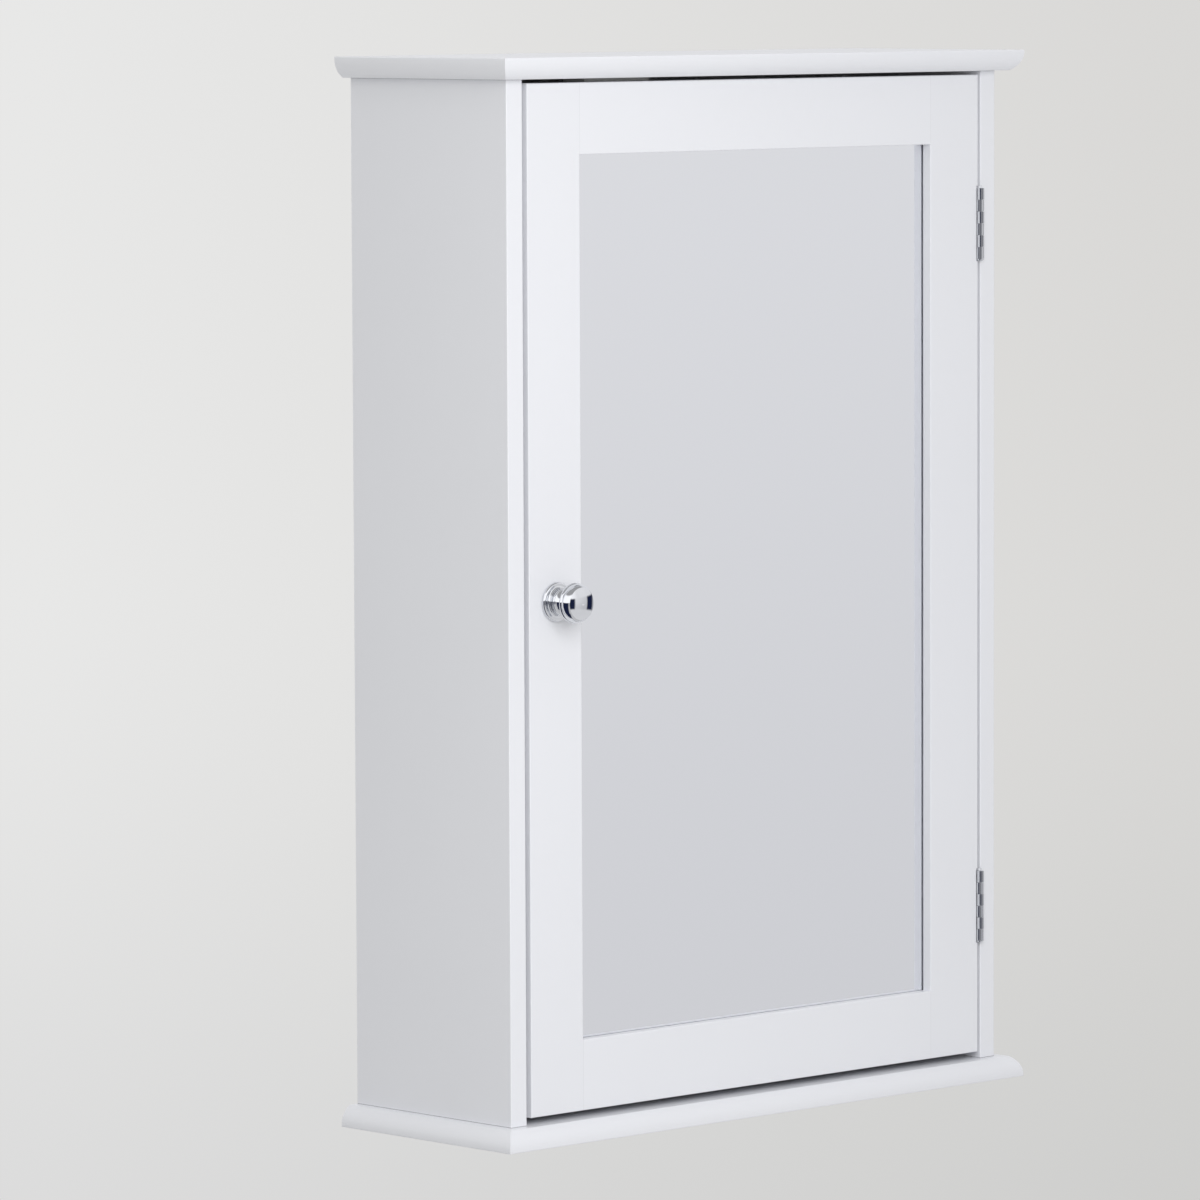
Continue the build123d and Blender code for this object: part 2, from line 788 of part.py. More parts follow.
with BuildPart() as door_rail_top:
    add(frame_blank.part)
    block(
        (opening_left, front_y, opening_top),
        (opening_right, door_rear_y, door_top),
        mode=Mode.INTERSECT,
    )
    door_dowel_holes()
    clip_screw_holes()
    with Locations(*[facing(x, strike_face_y, strike_z, (0, 1, 0)) for x in strike_screw_places]):
        CounterSinkHole(
            small_screw_radius + hole_clearance,
            small_screw_head_radius + hole_clearance,
            depth=small_screw_length + hole_clearance,
            counter_sink_angle=90,
        )

with BuildPart() as door_rail_bottom:
    add(frame_blank.part)
    block(
        (opening_left, front_y, door_bottom),
        (opening_right, door_rear_y, opening_bottom),
        mode=Mode.INTERSECT,
    )
    door_dowel_holes()
    clip_screw_holes()

# Mirror: foam tape against the lip, the pane, then a hardboard backing
pane_low = (pocket_low[0] + mirror_clearance, pocket_low[2] + mirror_clearance)
pane_high = (pocket_high[0] - mirror_clearance, pocket_high[2] - mirror_clearance)

with BuildPart() as mirror_pane:
    block((pane_low[0], pane_front_y, pane_low[1]), (pane_high[0], pane_rear_y, pane_high[1]))

with BuildPart() as mirror_backing:
    block((pane_low[0], pane_rear_y, pane_low[1]), (pane_high[0], backing_rear_y, pane_high[1]))

with BuildPart() as mirror_tape:
    block((pane_low[0], lip_rear_y, pane_low[1]), (pane_high[0], pane_front_y, pane_high[1]))
    block(
        (pane_low[0] + tape_width, lip_rear_y, pane_low[1] + tape_width),
        (pane_high[0] - tape_width, pane_front_y, pane_high[1] - tape_width),
        mode=Mode.SUBTRACT,
    )

# Knob: a turned rosette on the stile, and a turned head on a waisted neck
knob_plane = Plane(origin=(knob_x, front_y, door_middle_z), x_dir=(1, 0, 0), z_dir=(0, 0, -1))
knob_axis = Axis((knob_x, front_y, door_middle_z), (0, -1, 0))
knob_bore_radius = knob_screw_radius + hole_clearance
knob_bore_end = rosette_height + knob_screw_grip + knob_bore_spare
rim_foot = rosette_radius - rosette_rim_round
rim_top = 2 * rosette_rim_level
seat_edge = neck_ring_radius + rosette_seat_margin
ring_foot = neck_ring_radius - neck_ring_round
ring_top = rosette_height + neck_ring_height
head_foot = (knob_radius - knob_bead_round, knob_bead_level - knob_bead_half)

with BuildPart() as knob_rosette:
    with BuildSketch(knob_plane):
        with BuildLine():
            Line((knob_bore_radius, 0), (rim_foot, 0))
            ThreePointArc((rim_foot, 0), (rosette_radius, rosette_rim_level), (rim_foot, rim_top))
            Line((rim_foot, rim_top), (rim_foot - rosette_ledge, rim_top))
            TangentArc(
                (rim_foot - rosette_ledge, rim_top),
                (seat_edge, rosette_height),
                tangent=(-1, 0),
            )
            Polyline(
                (seat_edge, rosette_height),
                (knob_bore_radius, rosette_height),
                (knob_bore_radius, 0),
            )
        make_face()
    revolve(axis=knob_axis)

with BuildPart() as knob:
    with BuildSketch(knob_plane):
        with BuildLine():
            Polyline(
                (0, knob_height),
                (0, knob_bore_end),
                (knob_bore_radius, knob_bore_end),
                (knob_bore_radius, rosette_height),
                (ring_foot, rosette_height),
            )
            ThreePointArc(
                (ring_foot, rosette_height),
                (neck_ring_radius, (rosette_height + ring_top) / 2),
                (ring_foot, ring_top),
            )
            ThreePointArc(
                (ring_foot, ring_top),
                (neck_radius, (ring_top + head_foot[1]) / 2),
                head_foot,
            )
            ThreePointArc(
                head_foot,
                (knob_radius, knob_bead_level),
                (knob_band_radius, knob_bead_level + knob_bead_half),
            )
            Line(
                (knob_band_radius, knob_bead_level + knob_bead_half),
                (knob_band_radius, knob_shoulder_level),
            )
            TangentArc(
                (knob_band_radius, knob_shoulder_level),
                (knob_face_radius, knob_height - knob_dome),
                tangent=(0, 1),
            )
            TangentArc((0, knob_height), (knob_face_radius, knob_height - knob_dome), tangent=(1, 0))
        make_face()
    revolve(axis=knob_axis)

knob_screw_length = door_thickness - knob_screw_head_height + rosette_height + knob_screw_grip
knob_screw_blank = pan_screw(
    knob_screw_radius, knob_screw_head_radius, knob_screw_head_height, knob_screw_length
)
with BuildPart() as knob_screw:
    with Locations(facing(knob_x, door_rear_y - knob_screw_head_height, door_middle_z, (0, 1, 0))):
        add(knob_screw_blank)

# Hinges: each leaf is one strip, rolled round the pin at three of the six knuckles
knuckle_length = hinge_length / knuckle_count
bore_radius = barrel_radius - leaf_thickness


def hinge_leaf(side, middle_z, first_knuckle):
    """Leaf on one side of the pin; it rolls every second knuckle from first_knuckle down."""
    near_x = pin_x + side * leaf_clearance / 2
    far_x = near_x + side * leaf_thickness
    plate_y = pin_y + barrel_radius + barrel_clearance
    seam_x = near_x - side * (leaf_clearance + roll_seam)
    bottom = middle_z - hinge_length / 2
    top = middle_z + hinge_length / 2
    with BuildPart() as leaf:
        for index in range(first_knuckle, knuckle_count, 2):
            knuckle_top = top - index * knuckle_length
            with BuildSketch(Plane.XY.offset(knuckle_top - knuckle_length + knuckle_gap)):
                with Locations((pin_x, pin_y)):
                    Circle(barrel_radius)
                with Locations(((near_x + far_x) / 2, (pin_y + plate_y) / 2)):
                    Rectangle(leaf_thickness, plate_y - pin_y)
                with Locations((pin_x, pin_y)):
                    Circle(bore_radius, mode=Mode.SUBTRACT)
                with Locations((seam_x, pin_y + (bore_radius + barrel_radius) / 2)):
                    Rectangle(roll_seam, 2 * leaf_thickness, mode=Mode.SUBTRACT)
            extrude(amount=knuckle_length - knuckle_gap)
        block((min(near_x, far_x), plate_y, bottom), (max(near_x, far_x), pin_y + leaf_reach, top))
        screw_levels = [z for z in leaf_screw_levels if bottom < z < top]
        with Locations(*[facing(near_x, leaf_screw_y, z, (-side, 0, 0)) for z in screw_levels]):
            CounterSinkHole(
                leaf_screw_radius + hole_clearance,
                leaf_screw_head_radius + hole_clearance,
                depth=leaf_thickness,
                counter_sink_angle=90,
            )
    return leaf


def hinge_pin(middle_z):
    """Pin through all the knuckles, with a rounded end showing below them."""
    with BuildPart() as pin:
        with Locations((pin_x, pin_y, middle_z)):
            Cylinder(pin_radius, hinge_length)
        with Locations((pin_x, pin_y, middle_z - hinge_length / 2)):
            Cylinder(
                barrel_radius - pin_clearance,
                pin_tip,
                align=(Align.CENTER, Align.CENTER, Align.MAX),
            )
        fillet(edges().group_by(Axis.Z)[0], pin_tip * pin_tip_round)
    return pin


leaf_screw = countersunk_screw(leaf_screw_radius, leaf_screw_head_radius, leaf_screw_length)
with BuildPart() as hinge_frame_screws:
    with Locations(
        *[facing(pin_x + leaf_clearance / 2, leaf_screw_y, z, (-1, 0, 0)) for z in leaf_screw_levels]
    ):
        add(leaf_screw)

with BuildPart() as hinge_door_screws:
    with Locations(
        *[facing(pin_x - leaf_clearance / 2, leaf_screw_y, z, (1, 0, 0)) for z in leaf_screw_levels]
    ):
        add(leaf_screw)

pieces = {
    "top_board": top_board,
    "bottom_board": bottom_board,
    "side_panel_left": side_panel_left,
    "side_panel_right": side_panel_right,
    "top_dowels": top_dowels,
    "bottom_dowels": bottom_dowels,
    "bottom_screws": bottom_screws,
    "back_panel": back_panel,
    "back_nails": back_nails,
    "hanging_rail": hanging_rail,
    "rail_dowels": rail_dowels,
    "keyhole_plate_left": keyhole_plate_left,
    "keyhole_plate_right": keyhole_plate_right,
    "keyhole_plate_screws": keyhole_plate_screws,
    "wall_pads": wall_pads,
    "shelf_lower": shelf_lower,
    "shelf_upper": shelf_upper,
    "shelf_pins_lower": shelf_pins_lower,
    "shelf_pins_upper": shelf_pins_upper,
    "door_stile_left": door_stile_left,
    "door_stile_right": door_stile_right,
    "door_rail_top": door_rail_top,
    "door_rail_bottom": door_rail_bottom,
    "door_dowels": door_dowels,
    "mirror_pane": mirror_pane,
    "mirror_tape": mirror_tape,
    "mirror_backing": mirror_backing,
    "mirror_clips": mirror_clips,
    "mirror_clip_screws": mirror_clip_screws,
    "knob_rosette": knob_rosette,
    "knob": knob,
    "knob_screw": knob_screw,
    "hinge_frame_screws": hinge_frame_screws,
    "hinge_door_screws": hinge_door_screws,
    "catch_body": catch_body,
    "catch_pole_plates": catch_pole_plates,
    "catch_magnet": catch_magnet,
    "catch_screws": catch_screws,
    "strike_plate": strike_plate,
    "strike_screws": strike_screws,
}
for level, height in zip(("upper", "lower"), hinge_heights):
    pieces[f"hinge_{level}_frame_leaf"] = hinge_leaf(1, height, 0)
    pieces[f"hinge_{level}_door_leaf"] = hinge_leaf(-1, height, 1)
    pieces[f"hinge_{level}_pin"] = hinge_pin(height)

for name, piece in pieces.items():
    write(piece, name)
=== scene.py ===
import math

import bpy
from mathutils import Matrix, Quaternion, Vector


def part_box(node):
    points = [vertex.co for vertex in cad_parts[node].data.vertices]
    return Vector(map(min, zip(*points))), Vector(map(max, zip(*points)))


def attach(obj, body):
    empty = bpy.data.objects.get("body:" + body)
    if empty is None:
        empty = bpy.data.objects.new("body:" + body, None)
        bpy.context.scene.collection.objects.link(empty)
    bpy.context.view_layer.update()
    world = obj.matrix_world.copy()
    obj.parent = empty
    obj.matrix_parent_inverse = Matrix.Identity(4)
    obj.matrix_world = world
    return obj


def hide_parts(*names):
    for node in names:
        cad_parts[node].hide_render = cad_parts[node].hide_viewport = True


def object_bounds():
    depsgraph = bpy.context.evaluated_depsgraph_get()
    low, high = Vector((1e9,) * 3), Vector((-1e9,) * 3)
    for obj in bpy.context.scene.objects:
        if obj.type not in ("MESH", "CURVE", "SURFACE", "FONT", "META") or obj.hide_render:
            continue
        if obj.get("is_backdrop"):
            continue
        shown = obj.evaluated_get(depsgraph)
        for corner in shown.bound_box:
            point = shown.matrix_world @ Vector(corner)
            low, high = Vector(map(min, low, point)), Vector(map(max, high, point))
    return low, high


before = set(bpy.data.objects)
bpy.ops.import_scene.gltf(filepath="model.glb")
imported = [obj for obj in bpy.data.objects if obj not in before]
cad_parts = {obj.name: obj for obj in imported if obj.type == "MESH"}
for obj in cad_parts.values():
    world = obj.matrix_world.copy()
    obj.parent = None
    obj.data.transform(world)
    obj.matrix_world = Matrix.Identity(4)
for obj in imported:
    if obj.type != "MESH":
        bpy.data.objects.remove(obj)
cad_low, cad_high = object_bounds()


# Top and bottom boards, side panels, hanging rail
# Fibreboard, planed and routed to shape, then sprayed with a satin white paint on all sides.
# The holes bored for dowels and shelf pins go through the paint and show the bare board.
class Value:
    """A number or colour that a shader works out, with the sums that patterns need."""

    def __init__(self, shading, socket):
        self.shading = shading
        self.socket = socket

    def sum_of(self, operation, first, second=0.0):
        return self.shading.node("Math", {0: first, 1: second}, operation=operation)

    def __add__(self, other):
        return self.sum_of("ADD", self, other)

    __radd__ = __add__

    def __sub__(self, other):
        return self.sum_of("SUBTRACT", self, other)

    def __rsub__(self, other):
        return self.sum_of("SUBTRACT", other, self)

    def __mul__(self, other):
        return self.sum_of("MULTIPLY", self, other)

    __rmul__ = __mul__

    def __abs__(self):
        return self.sum_of("ABSOLUTE", self)

    def above(self, limit):
        return self.sum_of("GREATER_THAN", self, limit)

    def below(self, limit):
        return self.sum_of("LESS_THAN", self, limit)

    def at_least(self, other):
        return self.sum_of("MAXIMUM", self, other)


class Shading:
    """The nodes of a material or of the world, written as Python expressions."""

    def __init__(self, owner):
        owner.use_nodes = True
        self.tree = owner.node_tree

    def node(self, kind, inputs, output=0, stops=None, **settings):
        made = self.tree.nodes.new("ShaderNode" + kind)
        for name, value in settings.items():
            setattr(made, name, value)
        if stops:
            ramp = made.color_ramp.elements
            ramp[0].position, ramp[0].color = stops[0]
            ramp[1].position, ramp[1].color = stops[-1]
            for position, colour in stops[1:-1]:
                ramp.new(position).color = colour
        self.feed(made, inputs)
        return Value(self, made.outputs[output])

    def feed(self, node, inputs):
        for name, value in inputs.items():
            if isinstance(value, Value):
                self.tree.links.new(value.socket, node.inputs[name])
            else:
                node.inputs[name].default_value = value

    def along(self, axis):
        """The surface point's X, Y or Z in the cabinet's frame, in metres."""
        point = self.node("TexCoord", {}, output="Object")
        return self.node("SeparateXYZ", {0: point}, output=axis)

    def clouds(self, size, detail=2.0, roughness=0.5, stretch=(1, 1, 1)):
        """Soft noise from 0 to 1, with features of the given size in metres."""
        point = self.node("TexCoord", {}, output="Object")
        scaled = self.node("Mapping", {"Vector": point, "Scale": stretch})
        wanted = {"Vector": scaled, "Scale": 1 / size, "Detail": detail, "Roughness": roughness}
        return self.node("TexNoise", wanted)

    def mixed(self, share, first, second):
        """One colour turning into another. A Mix node keeps its two colours in inputs 6 and 7."""
        return self.node("Mix", {0: share, 6: first, 7: second}, output=2, data_type="RGBA")

    def relief(self, height, depth, strength=1.0):
        """Bumps of the given depth in metres."""
        return self.node("Bump", {"Height": height, "Distance": depth, "Strength": strength})

    def surface(self, inputs):
        self.feed(self.tree.nodes["Principled BSDF"], inputs)


def new_material(name):
    material = bpy.data.materials.new(name)
    return material, Shading(material)


def dress(material, *nodes):
    """Gives CAD nodes their finish."""
    for name in nodes:
        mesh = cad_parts[name].data
        mesh.materials.clear()
        mesh.materials.append(material)


paint_white = (0.85, 0.86, 0.895, 1)
paint_shaded = (0.825, 0.835, 0.87, 1)
bare_board = (0.42, 0.30, 0.19, 1)
bare_board_dark = (0.29, 0.20, 0.12, 1)
hairline_tone = (0.74, 0.75, 0.78, 1)
seam_tone = (0.40, 0.405, 0.42, 1)
shade_size = 0.16
sheen_size = 0.03
peel_size = 0.0025
peel_depth = 0.00003
fibre_size = 0.0009


def painted(name, bare=None, line=None, line_tone=hairline_tone, tone=1.0):
    """Satin paint. bare is a mask of unpainted wood, line a mask of fine joints that show in it, tone
    darkens the whole paint as painted shade.
    """
    material, shading = new_material(name)
    light = [channel * tone for channel in paint_white[:3]] + [1]
    deep = [channel * tone for channel in paint_shaded[:3]] + [1]
    colour = shading.mixed(shading.clouds(shade_size), light, deep)
    roughness = 0.28 + 0.1 * shading.clouds(sheen_size, detail=3)
    if line:
        colour = shading.mixed(line(shading), colour, line_tone)
    if bare:
        mask = bare(shading)
        fibres = shading.mixed(shading.clouds(fibre_size, detail=6), bare_board, bare_board_dark)
        colour = shading.mixed(mask, colour, fibres)
        roughness = roughness + 0.45 * mask
    normal = shading.relief(shading.clouds(peel_size, detail=1), peel_depth, 0.15)
    shading.surface({"Base Color": colour, "Roughness": roughness, "Normal": normal})
    return material


panel_low, panel_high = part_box("side_panel_left")
skin = 0.0004
notch_depth = 0.006
seam_width = 0.0003
panel_centre = (panel_low.z + panel_high.z) / 2
panel_half_height = (panel_high.z - panel_low.z) / 2
panel_middle = abs(panel_low.x + panel_high.x) / 2
half_panel = (panel_high.x - panel_low.x) / 2


def bored_panel(shading):
    """Inside the holes of a side panel, clear of its faces and of the notches for the hinges."""
    y = shading.along("Y")
    within = abs(abs(shading.along("X")) - panel_middle).below(half_panel - skin)
    return within * y.above(panel_low.y + notch_depth) * y.below(panel_high.y - skin)


def board_seam(shading):
    """The fine dark seam where a side panel stands between the boards."""
    return abs(shading.along("Z") - panel_centre).above(panel_half_height - seam_width)


panel_paint = painted("panel_paint", bare=bored_panel, line=board_seam, line_tone=seam_tone)
dress(panel_paint, "side_panel_left", "side_panel_right")
dress(painted("board_paint"), "top_board", "hanging_rail")
# The bottom board gets a darker copy of the paint: painted shade over the whole board.
dress(painted("bottom_board_shaded_paint", tone=0.955), "bottom_board")

# Shelves and their pins
# Two boards of the same painted fibreboard, loose on four plain steel pins each.
# The pins are bright zinc plated bar, cut to length.
zinc_bright = (0.63, 0.64, 0.66, 1)
zinc_dull = (0.47, 0.485, 0.51, 1)


def plated_steel(name, brush=(1, 1, 1)):
    """Zinc plate over rolled steel. brush stretches the fine scratches across one direction."""
    material, shading = new_material(name)
    blotches = shading.clouds(0.004, detail=5, roughness=0.6)
    colour = shading.mixed(blotches, zinc_bright, zinc_dull)
    scratches = shading.clouds(0.0005, detail=4, stretch=brush)
    roughness = 0.24 + 0.2 * blotches
    normal = shading.relief(scratches, 0.00001, 0.5)
    shading.surface(
        {"Base Color": colour, "Metallic": 1.0, "Roughness": roughness, "Normal": normal}
    )
    return material


steel = plated_steel("zinc_plate")
dress(painted("shelf_paint"), "shelf_lower", "shelf_upper")
dress(steel, "shelf_pins_lower", "shelf_pins_upper")

# Back panel
# Thin hardboard in the rebate, lacquered white on the inside and left brown towards the wall,
# held by small steel nails.
inner_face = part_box("back_panel")[0].y
hardboard_light = (0.36, 0.225, 0.13, 1)
hardboard_dark = (0.17, 0.095, 0.05, 1)


def hardboard(name, lacquered=None):
    """Pressed brown fibre with a smooth face. lacquered is a mask of the white side."""
    material, shading = new_material(name)
    coarse = shading.clouds(0.0035, detail=7, roughness=0.7)
    fibre = shading.clouds(0.0007, detail=4, stretch=(1, 1, 3))
    colour = shading.mixed(0.6 * coarse + 0.4 * fibre, hardboard_light, hardboard_dark)
    roughness = 0.62 + 0.2 * fibre
    if lacquered:
        mask = lacquered(shading)
        colour = shading.mixed(mask, colour, paint_shaded)
        roughness = roughness - 0.3 * mask
    normal = shading.relief(coarse + fibre, 0.00006, 0.6)
    shading.surface({"Base Color": colour, "Roughness": roughness, "Normal": normal})
    return material


def inner_side(shading):
    """The side of the back panel that faces the shelves."""
    return shading.along("Y").below(inner_face + skin / 2)


dress(hardboard("back_hardboard", lacquered=inner_side), "back_panel")
dress(steel, "back_nails")

# Dowels
# Beech rod, cut short and glued across the joints of the carcass and of the door's frame.
beech_light = (0.66, 0.47, 0.30, 1)
beech_dark = (0.48, 0.31, 0.18, 1)
beech_pore = (0.30, 0.18, 0.10, 1)
beech, shading = new_material("beech")
grain = shading.clouds(0.0011, detail=5, stretch=(1, 1, 0.12))
pores = shading.clouds(0.0004, detail=2, stretch=(1, 1, 0.2)).above(0.62)
wood = shading.mixed(grain, beech_light, beech_dark)
shading.surface(
    {
        "Base Color": shading.mixed(0.4 * pores, wood, beech_pore),
        "Roughness": 0.55 + 0.15 * grain,
        "Normal": shading.relief(grain - pores, 0.00005, 0.6),
    }
)
dress(beech, "top_dowels", "bottom_dowels", "rail_dowels", "door_dowels")


# Screws
# Zinc plated wood screws with a cross recess. Each kind is turned and threaded once, gets its
# recess cut, and is copied to its places, every copy stopped at another angle.
crease_angle = math.radians(32)
first_stop = math.radians(11)
stop_step = math.radians(47)


def turned(name, rings, sides=28):
    """A piece on the Z axis: a disc drawn out ring by ring, each ring a radius and a height."""
    radius, height = rings[0]
    bpy.ops.object.select_all(action="DESELECT")
    bpy.ops.mesh.primitive_circle_add(
        vertices=sides, radius=radius, fill_type="NGON", location=(0, 0, height)
    )
    piece = bpy.context.object
    piece.name = name
    bpy.ops.object.transform_apply(location=True, rotation=True, scale=True)
    bpy.ops.object.mode_set(mode="EDIT")
    bpy.ops.mesh.select_all(action="SELECT")
    for next_radius, next_height in rings[1:]:
        bpy.ops.mesh.extrude_region_move(
            TRANSFORM_OT_translate={"value": (0, 0, next_height - height)}
        )
        share = next_radius / radius
        bpy.ops.transform.resize(value=(share, share, 1), center_override=(0, 0, next_height))
        radius, height = next_radius, next_height
    bpy.ops.mesh.select_all(action="SELECT")
    bpy.ops.mesh.normals_make_consistent(inside=False)
    bpy.ops.object.mode_set(mode="OBJECT")
    return piece


def cut_cross(screw, top, reach, depth):
    """Cuts the tapered cross of a screwdriver into the head, from its top down."""
    slot_width = 0.32 * reach
    taper = 0.45
    for quarter in (0, math.pi / 2):
        bpy.ops.object.select_all(action="DESELECT")
        bpy.ops.mesh.primitive_cube_add(size=1, location=(0, 0, top), rotation=(0, 0, quarter))
        cutter = bpy.context.object
        cutter.scale = (2 * reach, slot_width, 2 * depth)
        bpy.ops.object.transform_apply(location=True, rotation=True, scale=True)
        bpy.ops.object.mode_set(mode="EDIT")
        bpy.ops.mesh.select_all(action="DESELECT")
        bpy.ops.object.mode_set(mode="OBJECT")
        for vertex in cutter.data.vertices:
            vertex.select = vertex.co.z < top
        bpy.ops.object.mode_set(mode="EDIT")
        bpy.ops.mesh.select_mode(type="VERT")
        bpy.ops.transform.resize(value=(taper, taper, 1), center_override=(0, 0, 0))
        bpy.ops.object.mode_set(mode="OBJECT")
        bpy.ops.object.select_all(action="DESELECT")
        bpy.context.view_layer.objects.active = screw
        screw.select_set(True)
        cut = screw.modifiers.new("cross", "BOOLEAN")
        cut.operation = "DIFFERENCE"
        cut.object = cutter
        cut.solver = "EXACT"
        bpy.ops.object.modifier_apply(modifier=cut.name)
        bpy.data.objects.remove(cutter)


def wood_screw(name, radius, head_radius, length, dome=0.0):
    """A screw with its head's rim at the origin and its point down. dome is a round head's height."""
    pitch = 0.9 * radius
    core = 0.74 * radius
    shank = 1.2 * radius
    point = 2 * radius
    blunt_tip = 0.06 * radius
    recess_reach = 0.56 * head_radius
    recess_depth = (0.62 if dome else 0.5) * head_radius
    if dome:
        rings = [(0.35 * head_radius, dome), (0.7 * head_radius, 0.78 * dome)]
        rings += [(0.92 * head_radius, 0.42 * dome), (head_radius, 0), (radius, 0)]
    else:
        rings = [(0.96 * head_radius, 0), (head_radius, -0.06 * radius)]
        rings += [(radius, radius - head_radius)]
    height = rings[-1][1] - shank
    rings.append((radius, height))
    while height - pitch > point - length:
        rings += [(core, height - 0.25 * pitch), (core, height - 0.6 * pitch)]
        rings.append((radius, height - pitch))
        height -= pitch
    rings += [(0.5 * radius, (height - length) / 2), (blunt_tip, -length)]
    screw = turned(name, rings)
    cut_cross(screw, dome, recess_reach, recess_depth)
    bpy.ops.object.shade_smooth_by_angle(angle=crease_angle)
    return screw


def copied(source, places):
    """One mesh of copies of a piece, each at a place with its head facing outward."""
    copies = []
    for index, (point, outward) in enumerate(places):
        copy = source.copy()
        copy.data = source.data.copy()
        bpy.context.collection.objects.link(copy)
        spin = Matrix.Rotation(first_stop + index * stop_step, 4, "Z")
        turn = Vector(outward).to_track_quat("Z", "Y").to_matrix().to_4x4()
        copy.data.transform(Matrix.Translation(point) @ turn @ spin)
        copies.append(copy)
    bpy.ops.object.select_all(action="DESELECT")
    for copy in copies:
        copy.select_set(True)
    bpy.context.view_layer.objects.active = copies[0]
    bpy.ops.object.join()
    copies[0].name = source.name + "_set"
    bpy.data.objects.remove(source)
    return copies[0]


def fit_screws(node, body, source, places, finish=steel):
    """Puts screws at their places, where they stand for a CAD node."""
    screws = copied(source, places)
    screws.data.materials.clear()
    screws.data.materials.append(finish)
    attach(screws, body)
    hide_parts(node)


def corners(node, inset):
    """The lowest and highest X, Y and Z of a node's screw axes."""
    low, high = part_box(node)
    margin = Vector((inset, inset, inset))
    return low + margin, high - margin


board_screw_head = 0.0035
low, high = corners("bottom_screws", board_screw_head)
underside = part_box("bottom_screws")[0].z
fit_screws(
    "bottom_screws",
    "cabinet",
    wood_screw("board_screw", radius=0.00175, head_radius=board_screw_head, length=0.035),
    [((x, y, underside), (0, 0, -1)) for x in (low.x, high.x) for y in (low.y, high.y)],
)

# Keyhole plates and wall pads
# Two pressed steel hanger plates, each screwed through the back panel into the hanging rail,
# and two grey felt pads of the same thickness that keep the cabinet's foot off the wall.
small_screw = 0.00125
small_screw_head = 0.0024
low, high = corners("keyhole_plate_screws", small_screw_head)
wall_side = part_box("keyhole_plate_screws")[1].y
fit_screws(
    "keyhole_plate_screws",
    "cabinet",
    wood_screw("plate_screw", small_screw, small_screw_head, length=0.0135),
    [((x, wall_side, z), (0, 1, 0)) for x in (low.x, high.x) for z in (low.z, high.z)],
)
dress(plated_steel("pressed_plate", brush=(8, 1, 1)), "keyhole_plate_left", "keyhole_plate_right")

felt_dark = (0.30, 0.30, 0.31, 1)
felt_light = (0.52, 0.52, 0.53, 1)
felt, shading = new_material("grey_felt")
wool = shading.clouds(0.0006, detail=6, roughness=0.75)
shading.surface(
    {
        "Base Color": shading.mixed(wool, felt_dark, felt_light),
        "Roughness": 0.9 + 0.1 * wool,
        "Normal": shading.relief(wool, 0.0002, 0.9),
    }
)
dress(felt, "wall_pads")

# Door frame
# Two stiles and two rails, dowelled and sprayed together, so that their butt joints only show
# as hairlines in the paint. The rebate behind the lip takes the mirror.
opening_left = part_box("door_stile_left")[1].x
opening_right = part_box("door_stile_right")[0].x
opening_middle = (opening_left + opening_right) / 2
half_opening = (opening_right - opening_left) / 2
hairline = 0.00011


def rail_joint(shading):
    """The hairline where a rail meets a stile."""
    return abs(abs(shading.along("X") - opening_middle) - half_opening).below(hairline)


top_rail_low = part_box("door_rail_top")[0].z
bottom_rail_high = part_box("door_rail_bottom")[1].z
rail_middle = (top_rail_low + bottom_rail_high) / 2
half_height = (top_rail_low - bottom_rail_high) / 2


def stile_joint(shading):
    """The hairline on a stile, only as far as the rails reach."""
    return rail_joint(shading) * abs(shading.along("Z") - rail_middle).above(half_height)


dress(painted("rail_paint", line=rail_joint), "door_rail_top", "door_rail_bottom")
# The stiles get a slightly darker copy of the paint than the rails: painted shade.
dress(painted("stile_shaded_paint", line=stile_joint, tone=0.992), "door_stile_left", "door_stile_right")

# Mirror
# Silvered float glass on a ring of foam tape against the lip. The tape's blue-black is partly the
# foam's own colour and partly painted shade of the dark band along the lip. A hardboard sheet backs
# it, held by bent steel clips, each with one round-headed screw.
silvering = (0.92, 0.93, 0.955, 1)
glass_edge = (0.30, 0.46, 0.38, 1)
edge_skin = 0.00005
silver, shading = new_material("silvered_glass")
haze = shading.clouds(0.05, detail=4)
pane_low, pane_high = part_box("mirror_pane")
pane_middle = (pane_low + pane_high) / 2
half_pane = (pane_high - pane_low) / 2
rim = abs(shading.along("X") - pane_middle.x).above(half_pane.x - edge_skin)
rim = rim + abs(shading.along("Z") - pane_middle.z).above(half_pane.z - edge_skin)
shading.surface(
    {
        "Base Color": shading.mixed(rim, silvering, glass_edge),
        "Metallic": 1 - 0.9 * rim,
        "Roughness": 0.012 + 0.012 * haze + 0.15 * rim,
    }
)
dress(silver, "mirror_pane")

# The tape's blue-black is partly the foam's own black and partly painted shade along the lip.
foam_shade_dark = (0.018, 0.024, 0.050, 1)
foam_shade_light = (0.042, 0.052, 0.088, 1)
foam, shading = new_material("foam_tape_painted_shade")
cells = shading.clouds(0.0004, detail=3)
shading.surface(
    {
        "Base Color": shading.mixed(cells, foam_shade_dark, foam_shade_light),
        "Roughness": 0.85 + 0.1 * cells,
        "Normal": shading.relief(cells, 0.0001, 0.8),
    }
)
dress(foam, "mirror_tape")
dress(hardboard("backing_hardboard"), "mirror_backing")
dress(plated_steel("clip_steel", brush=(1, 1, 8)), "mirror_clips")

